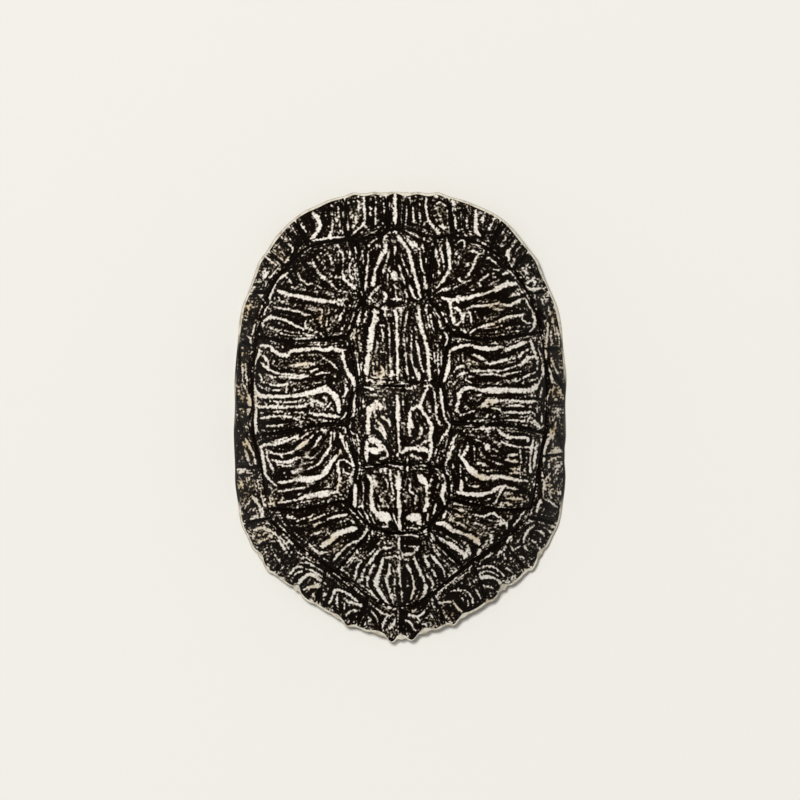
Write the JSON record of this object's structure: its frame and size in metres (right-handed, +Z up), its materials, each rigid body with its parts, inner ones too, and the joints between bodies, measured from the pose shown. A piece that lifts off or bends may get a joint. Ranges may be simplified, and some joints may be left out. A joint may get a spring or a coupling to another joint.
{
  "type": "turtle shell",
  "caption": "Empty domed upper shell of a pond turtle with horn scutes, a low keel and a scalloped rim, resting on the flat undersides of its side rims.",
  "frame": {"origin": "under the middle of the shell, on the surface that it rests on", "axes": "+Y towards the neck, +Z up, +X to the animal's right"},
  "size_m": [0.1862, 0.2492, 0.0816],
  "materials": {
    "horn": "dark horn with cream linear markings, satin to glossy, bare cream bone inside"
  },
  "bodies": {
    "root": {"carapace": "horn"}
  },
  "joints": []
}
